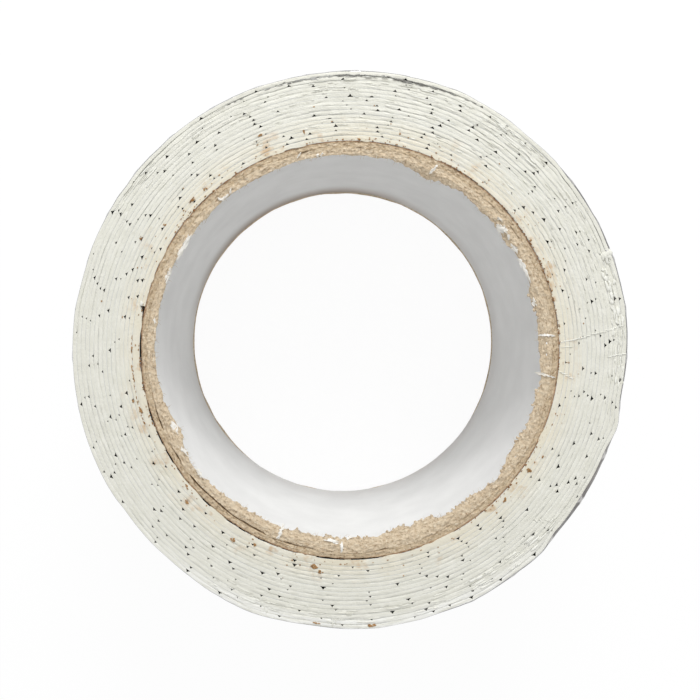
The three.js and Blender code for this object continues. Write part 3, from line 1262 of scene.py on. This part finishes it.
def crumb_line(count, spreads, radius, scatter, sizes, slimness, height, seed, sink=0.3):
    """Small crumbs strewn along a circle."""
    line = []
    for i in range(count):
        angle = math.radians(dice.uniform(*one_of(spreads)))
        size = dice.uniform(*sizes)
        place = dice.normal(radius, scatter)
        line.append(lump(place, angle, size * dice.uniform(*slimness), size, height, seed + i, sink))
    return line


crumbs = []
for i, (degrees, radius, length, width) in enumerate(large_crumbs):
    for j in range(bits_in_crumb):
        off, aside = dice.normal(0, 0.3) * length, dice.normal(0, 0.3) * width
        bit = dice.uniform(0.3, 0.75)
        angle = math.radians(degrees) + off / radius
        crumbs.append(lump(radius + aside, angle, bit * length, bit * width, 0.16, 200 + 9 * i + j))
beside_core = ((4, 36), (58, 102), (178, 202), (300, 346), (120, 150))
crumbs += crumb_line(110, beside_core, core_radius + 0.12, 0.12, (0.1, 0.3), (0.8, 2.4), 0.14, 1000)
crumbs += crumb_line(90, ((-6, 62),), core_radius + 0.02, 0.06, (0.08, 0.2), (1, 2.6), 0.16, 1700)
crumbs += crumb_line(46, ((176, 201),), 42.4, 0.08, (0.08, 0.2), (1.2, 4), 0.09, 1120, 0.35)
for i in range(190):  # anywhere, but fewer away from the core
    radius = core_radius + min(0.15 + dice.exponential(1.5), 12.5)
    size = dice.uniform(0.08, 0.26)
    angle = dice.uniform(0, FULL_TURN)
    crumbs.append(lump(radius, angle, size * dice.uniform(0.8, 2.2), size, 0.1, 500 + i))
crumb_piece = joined_piece("board_crumbs", crumbs, rust_finish)
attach(crumb_piece, "roll")
print(len(crumbs), "crumbs of board")

# %% [markdown]
# The torn lip also ends in small chips of board, half torn off, most of them along the bottom of the picture.
# A finer tear in the board's own grid could show them, but it would need many more points all round, so they
# are lumps set on the lip, at the height to which it droops there.

# %% Chips on the torn lip
chips = []
for i in range(150):
    angle = math.radians(dice.normal(285, 45) if i < 110 else dice.uniform(0, 360))
    reach = lip_reach(angle)
    if reach < 0.3:
        continue
    hang = reach + dice.uniform(-0.35, 0.15)
    size = dice.uniform(0.2, 0.65)
    width = size * dice.uniform(0.7, 1.6)
    foot = roll_width - 0.3 - lip_drop(hang)
    chips.append(lump(bore_radius - hang, angle, size, width, 0.2, 1200 + i, 0.4, foot))
chip_piece = joined_piece("lip_chips", chips, inner_kraft)
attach(chip_piece, "roll")
print(len(chips), "chips on the lip")

# %% [markdown]
# Where the free end was cut and pressed down, soft butyl has squeezed out in white lumps, and a few creases
# run across the layers beside it. Both are raised butyl, so they are lumps of the same compound, a little
# whiter than the slit edge because they were never cut. A crease is a row of lumps.

# %% Squeezed butyl and creases
squeezed_finish = make_paper("squeezed_butyl", linear(240, 240, 233), linear(226, 225, 215), 0.03)
creases = (  # first degrees and radius, last degrees and radius, width
    (2.0, 40.9, 3.4, 46.6, 0.2), (0.6, 41.0, 1.0, 43.2, 0.15), (3.6, 47.2, 5.2, 53.3, 0.2),
    (354.2, 40.9, 352.6, 43.6, 0.18), (358.6, 50.2, 359.2, 53.4, 0.2), (317.0, 48.6, 319.4, 51.0, 0.18),
    (250.0, 51.0, 252.6, 53.6, 0.2), (268.0, 51.8, 266.0, 53.6, 0.2),
)


def strewn(count, spreads, radii, lengths, widths, height, seed, sink):
    """Lumps strewn over a band of the end face."""
    lumps = []
    for i in range(count):
        angle = math.radians(dice.uniform(*one_of(spreads)))
        radius, length, width = [dice.uniform(*limits) for limits in (radii, lengths, widths)]
        lumps.append(lump(radius, angle, length, width, height, seed + i, sink))
    return lumps


squeezed = []
for i in range(58):  # most beside the end of the tape, and less away from it
    degrees = dice.uniform(-8, 20.8)
    size = 0.4 + 0.6 * ease(0.0, 11.0, degrees)
    radius, length, width = dice.uniform(51.0, 53.6), dice.uniform(0.5, 2.2), size * dice.uniform(0.25, 0.7)
    squeezed.append(lump(radius, math.radians(degrees), length, width, 0.32 * size, 700 + i, 0.42))
for i in range(7):  # the end of the tape, pressed down
    angle = math.radians(20.4 + dice.normal(0, 0.25))
    squeezed.append(lump(52.3 + 0.27 * i, angle, 1.5, 0.8, 0.4, 1800 + i, 0.45))
smeared = ((238, 310), (238, 310), (342, 396), (118, 152), (62, 98), (404, 420))
squeezed += strewn(190, smeared, (50.4, 53.2), (0.6, 3.4), (0.08, 0.26), 0.13, 760, 0.45)
flaked, beside_knock = ((8, 118),), ((297, 321),)
squeezed += strewn(210, flaked, (42.5, 53.0), (0.4, 2.2), (0.07, 0.2), 0.12, 1900, 0.42)
squeezed += strewn(22, beside_knock, (50.6, 52.6), (0.8, 2.8), (0.15, 0.45), 0.16, 2200, 0.45)
squeezed.append(lump(core_radius + 0.75, inner_end_angle - 0.008, 1.0, 0.7, 0.3, 690, 0.5))
for i, (first_angle, first_radius, last_angle, last_radius, width) in enumerate(creases):
    steps = max(2, round((last_radius - first_radius) / 0.7))
    for j in range(steps):
        share = (j + 0.5) / steps
        angle = math.radians(first_angle + (last_angle - first_angle) * share + dice.normal(0, 0.07))
        radius = first_radius + (last_radius - first_radius) * share
        squeezed.append(lump(radius, angle, width * dice.uniform(0.7, 1.3), 1.1, 0.14, 960 + 12 * i + j, 0.4))
squeezed_piece = joined_piece("squeezed_butyl_lumps", squeezed, squeezed_finish)
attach(squeezed_piece, "roll")
print(len(squeezed), "lumps and creases of squeezed butyl")

# %% [markdown]
# At the top of the picture the last lap has sprung open, and the foil's edge below it is crumpled into a
# broken grey line. Crumpled foil could be simulated as cloth, but at this size only its flecks show, so it is
# a row of small flat lumps that follow the tape's own path.

# %% Crumpled edge of the foil
crumpled_finish = make_paper("crumpled_foil", linear(196, 196, 192), linear(122, 120, 115), 0.04)
crumpled = []
for i in range(120):
    angle = math.radians(dice.normal(88, 12))
    lap = whole_turns - 1 + (inner_end_angle - angle) / FULL_TURN
    x, y, _ = tape_points(np.array(lap), foil_back, np.array(roll_width))
    radius = math.hypot(x, y) + dice.normal(0.05, 0.15)
    length, width = dice.uniform(0.3, 1.5), dice.uniform(0.07, 0.22)
    crumpled.append(lump(radius, angle, length, width, 0.12, 2400 + i, 0.4))
crumpled_piece = joined_piece("crumpled_foil_edge", crumpled, crumpled_finish)
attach(crumpled_piece, "roll")
print(len(crumpled), "flecks of crumpled foil")

# %% [markdown]
# ## Floor, light and camera
# The floor is plain and white. A lit white plane would come out grey and uneven, so the floor glows like
# paper where the camera or a reflection sees it. A small share of it stays an ordinary surface, which shows
# the roll's soft shadow.

# %% Floor
floor_size = 3.0
floor_drop = 0.00005  # metres below the roll, so that the two faces don't coincide
floor_glow, glow_share = 1.01, 0.93
floor_grey = (0.9, 0.9, 0.9, 1)

signs = ((-1, -1), (1, -1), (1, 1), (-1, 1))
floor_mesh = bpy.data.meshes.new("floor")
floor_mesh.from_pydata([(x * floor_size, y * floor_size, -floor_drop) for x, y in signs], [], [(0, 1, 2, 3)])
floor = put_in_scene("floor", floor_mesh)


def seen_directly(nodes):
    """1 for rays of the camera and of reflections, 0 for the light that falls on surfaces."""
    rays = nodes.node("ShaderNodeLightPath")
    seen = rays.outputs["Is Camera Ray"]
    for kind in ("Is Glossy Ray", "Is Transmission Ray"):
        seen = nodes.math("MAXIMUM", seen, rays.outputs[kind])
    return seen


floor_finish = bpy.data.materials.new("floor_white")
floor_finish.use_nodes = True
floor_finish.node_tree.nodes.clear()
floor_nodes = Nodes(floor_finish.node_tree)
glow = floor_nodes.node("ShaderNodeEmission")
glow.inputs["Strength"].default_value = floor_glow
plain = floor_nodes.node("ShaderNodeBsdfDiffuse")
plain.inputs["Color"].default_value = floor_grey
glowing = floor_nodes.times(seen_directly(floor_nodes), glow_share)
blend = floor_nodes.node("ShaderNodeMixShader")
for source, socket in zip((glowing, plain.outputs[0], glow.outputs[0]), blend.inputs):
    floor_nodes.link(source, socket)
floor_nodes.link(blend.outputs[0], floor_nodes.node("ShaderNodeOutputMaterial").inputs["Surface"])
floor_mesh.materials.append(floor_finish)
print("floor glows at", floor_glow, "with a share of", glow_share)

# %% [markdown]
# The light in the photograph is as soft as in a tent of white cloth. The cloth could be built and lit too,
# but a white sky does the same with less noise. It gives more light from overhead than from the horizon, and
# it is plain white where the foil reflects it.

# %% Sky
horizon_strength, zenith_strength = 0.34, 0.87
world = bpy.data.worlds.new("studio")
bpy.context.scene.world = world
world.use_nodes = True
sky_nodes = Nodes(world.node_tree)
sky = world.node_tree.nodes["Background"]
sky.inputs["Color"].default_value = (1, 1, 1, 1)
direction = sky_nodes.node("ShaderNodeSeparateXYZ")
sky_nodes.link(sky_nodes.node("ShaderNodeTexCoord").outputs["Generated"], direction.inputs[0])
graded = sky_nodes.between(direction.outputs["Z"], 0.0, 1.0, horizon_strength, zenith_strength)
level = sky_nodes.node("ShaderNodeMix")
sky_nodes.link(seen_directly(sky_nodes), level.inputs["Factor"])
sky_nodes.link(graded, level.inputs["A"])
level.inputs["B"].default_value = 1.0
sky_nodes.link(level.outputs["Result"], sky.inputs["Strength"])
print("sky from", horizon_strength, "at the horizon to", zenith_strength, "overhead")

# %% [markdown]
# One large lamp stands beyond the top of the picture. It gives the grooves and crumbs their soft shadows,
# which a sky alone would wash out. A sun would cast hard ones, so this is a round area lamp 30 cm across,
# turned towards the middle of the end face.

# %% Lamp
lamp_place = Vector((0.05, 0.48, 0.34))
light = bpy.data.lights.new("key_lamp", "AREA")
light.shape = "DISK"
light.size = 0.3
light.energy = 2.3
lamp = put_in_scene("key_lamp", light)
lamp.location = lamp_place
to_roll = Vector((0, 0, roll_width * MM)) - lamp_place
lamp.rotation_euler = to_roll.to_track_quat("-Z", "Y").to_euler()
print("lamp of", round(light.energy, 2), "W at", round(to_roll.length, 2), "m")

# %% [markdown]
# The photograph looks straight down on the roll, from a point a little up and to the left of the axis, so it
# shows more of the lower right wall of the bore. All circles in it stay round, which means that the camera
# isn't tilted: the picture was framed from one side of a wider view. A small lens shift does the same. The
# focal length follows from the size of the far rim of the bore against the near one.

# %% Camera
camera_place = Vector((-5.86, 6.70, 207)) * MM
camera_data = bpy.data.cameras.new("camera")
camera_data.sensor_width = 36
camera_data.lens = 41.6
camera_data.clip_start = 0.005
framing = camera_data.lens / camera_data.sensor_width / (camera_place.z - roll_width * MM)
camera_data.shift_x = -camera_place.x * framing
camera_data.shift_y = -camera_place.y * framing
camera = put_in_scene("camera", camera_data)
camera.location = camera_place
bpy.context.scene.camera = camera
bpy.context.scene.view_settings.view_transform = "Standard"
print(f"camera shift {camera_data.shift_x:.3f}, {camera_data.shift_y:.3f}")
